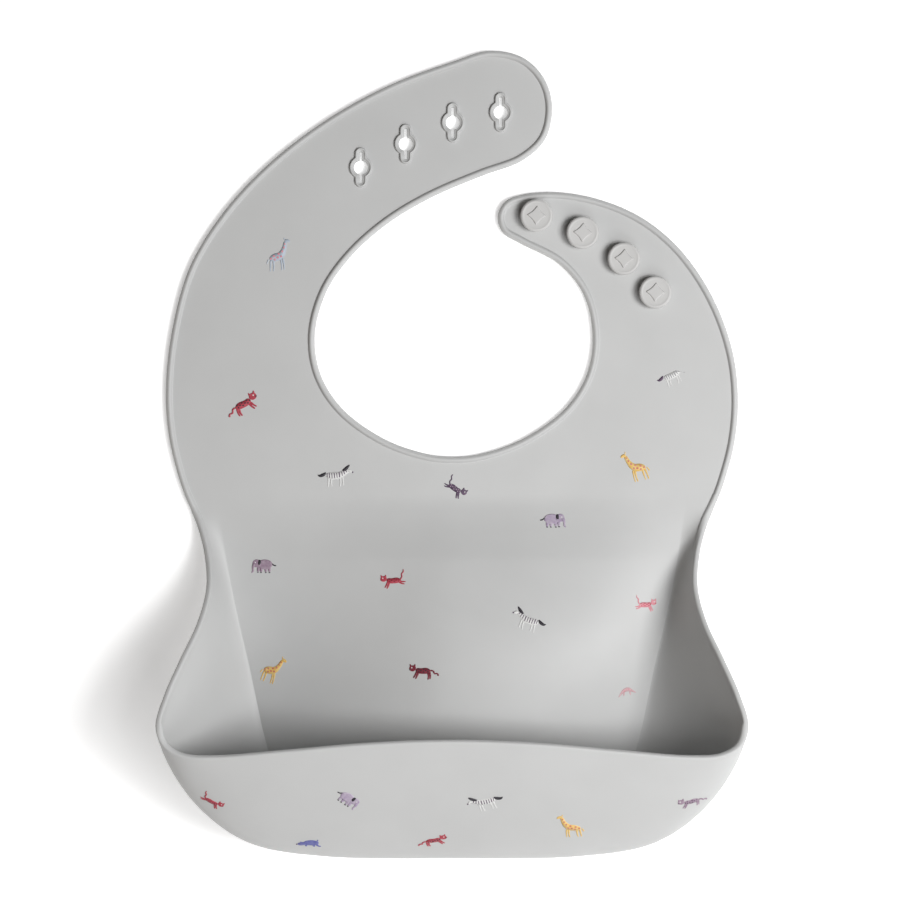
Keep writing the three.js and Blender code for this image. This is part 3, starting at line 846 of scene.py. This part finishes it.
def stroke_place(line, i, j):
    """A point of a ribbon with rounded ends; j runs across it from 0 to 2."""
    length = len(line) - 1
    share = length * (1 - math.cos(math.pi * i / STROKE_STEPS)) / 2
    points = [Vector(p) for p in line]
    here = along(points, share)
    way = along(points, min(share + 0.05, length)) - along(points, max(share - 0.05, 0))
    x, y, half = here
    side = Vector((-way.y, way.x)).normalized()
    run = [(Vector((p.x, p.y)) - Vector((x, y))).length for p in (points[0], points[-1])]
    cap = min(1, min(run) / half)
    reach = (j - 1) * half * max(math.sqrt(1 - (1 - cap) ** 2), 0.06)
    return x + side.x * reach, y + side.y * reach


def spot_place(spot, i, j):
    """A point of a filled oval on a grid of eight by eight."""
    x, y, wide, high = spot
    a, b = i / 4 - 1, j / 4 - 1
    return x + wide * a * math.sqrt(1 - b * b / 2), y + high * b * math.sqrt(1 - a * a / 2)


def skin_tree(*names):
    """The outer surface of the moulded pieces, in metres."""
    bm = bmesh.new()
    for name in names:
        bm.from_mesh(bpy.data.objects[name].data)
    bmesh.ops.triangulate(bm, faces=bm.faces)
    tree = BVHTree.FromBMesh(bm)
    bm.free()
    return tree


def print_animal(bm, skin, animal, place, turn, unit, faces_left, ink_height):
    """Lays an animal's strokes and spots on the skin as thin raised slabs."""
    down = Vector((0, 0, -1))
    spot, normal, *_ = skin.ray_cast(Vector((*place, 100)) * MM, down)
    way = direction(turn)
    right = (way - normal * way.dot(normal)).normalized()
    up = normal.cross(right)
    for layer, (ink, part) in enumerate(ANIMALS[animal]):
        lift = ink_height + INK_LAYER * layer
        stroke = isinstance(part, list)

        def put(i, j):
            a, b = stroke_place(part, i, j) if stroke else spot_place(part, i, j)
            a = -a if faces_left else a
            above = spot + (right * a + up * b) * unit * MM + normal * MM
            hit, skin_normal, *_ = skin.find_nearest(above)
            return hit / MM + skin_normal * lift

        slab = bmesh.new()
        lay_grid(slab, STROKE_STEPS if stroke else 8, 2 if stroke else 8, put)
        for face in slab.faces:
            face.material_index = ink
        under = bmesh.ops.extrude_face_region(slab, geom=slab.faces[:], use_keep_orig=True)
        bmesh.ops.translate(slab, vec=-normal * INK_DEPTH, verts=only(bmesh.types.BMVert, under["geom"]))
        join(bm, slab)


class BIB_OT_prints(Operator):
    """Prints the small animals on the front of the bib"""

    bl_idname = "bib.prints"
    bl_label = "Printed Animals"

    def execute(self, context):
        ink_height = context.scene.bib.ink_height / MM
        inks = {name: ink_material(f"ink_{name}", *colours) for name, colours in INKS.items()}
        skin = skin_tree("yoke_sheet", "chest_and_pocket", *PRINT_STRAPS)
        for number, (animal, colours, place, turn, unit, faces_left) in enumerate(PRINTS):
            bm = bmesh.new()
            print_animal(bm, skin, animal, place, turn, unit, faces_left, ink_height)
            piece = make_piece(bm, f"print_{number + 1:02d}_{animal}", *(inks[ink] for ink in colours))
            if number < len(PRINT_STRAPS):
                blend_strap(piece, PRINT_STRAPS[number])
            elif place[1] < FRONT_WALL_TOP:
                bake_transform(piece)
            else:
                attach(piece, "bib_body")
        return {"FINISHED"}


# ---- the stage ----


class BIB_OT_stage(Operator):
    """Sets up the pale floor, the soft studio light and the camera above the bib"""

    bl_idname = "bib.stage"
    bl_label = "Stage"

    def execute(self, context):
        scene = context.scene
        bm = bmesh.new()
        bmesh.ops.create_grid(bm, x_segments=1, y_segments=1, size=3000)
        bmesh.ops.translate(bm, vec=(0, 0, -0.4), verts=bm.verts)
        make_piece(bm, "table", floor_material())

        world = bpy.data.worlds.new("studio")
        world.use_nodes = True
        world.node_tree.nodes["Background"].inputs["Color"].default_value = (1, 1, 1, 1)
        world.node_tree.nodes["Background"].inputs["Strength"].default_value = 0.03
        scene.world = world
        scene.view_settings.view_transform = "Standard"

        white, warm = (1, 1, 1), (1, 0.84, 0.7)
        for name, place, size, power, colour in (("key", (0.68, -0.1, 0.98), 0.4, 8.6, white),
                                                 ("top", (0.46, -0.16, 1.1), 0.5, 4.6, white),
                                                 ("front", (0.3, -0.62, 0.72), 0.5, 2.4, white),
                                                 ("left", (-1.3, -0.3, 0.6), 0.8, 1.6, warm)):
            light = bpy.data.lights.new(name, "AREA")
            light.size = size
            light.energy = power
            light.color = colour
            lamp = bpy.data.objects.new(name, light)
            lamp.location = place
            lamp.rotation_euler = Vector(place).to_track_quat("Z", "Y").to_euler()
            scene.collection.objects.link(lamp)

        camera = bpy.data.objects.new("camera", bpy.data.cameras.new("camera"))
        camera.data.lens = 129.6
        camera.data.sensor_width = 36
        camera.location = (-0.00074, 0.00204, 1.2)
        scene.collection.objects.link(camera)
        scene.camera = camera
        return {"FINISHED"}


class BIB_PT_panel(Panel):
    """Shows the bib's settings and a button for each building step"""

    bl_label = "Silicone Bib"
    bl_idname = "BIB_PT_panel"
    bl_space_type = "VIEW_3D"
    bl_region_type = "UI"
    bl_category = "Bib"

    def draw(self, context):
        for name in BibSettings.__annotations__:
            self.layout.prop(context.scene.bib, name)
        for operator in STEPS:
            self.layout.operator(operator.bl_idname)


STEPS = (BIB_OT_sheet, BIB_OT_pocket, BIB_OT_eyelets, BIB_OT_buttons, BIB_OT_prints, BIB_OT_stage)
CLASSES = (BibSettings, *STEPS, BIB_PT_panel)


def register():
    for cls in CLASSES:
        bpy.utils.register_class(cls)
    bpy.types.Scene.bib = PointerProperty(type=BibSettings)


def unregister():
    del bpy.types.Scene.bib
    for cls in reversed(CLASSES):
        bpy.utils.unregister_class(cls)


def main():
    register()
    bpy.ops.bib.sheet()
    bpy.ops.bib.pocket()
    bpy.ops.bib.eyelets()
    bpy.ops.bib.buttons()
    bpy.ops.bib.prints()
    bpy.ops.bib.stage()


if __name__ == "__main__":
    main()
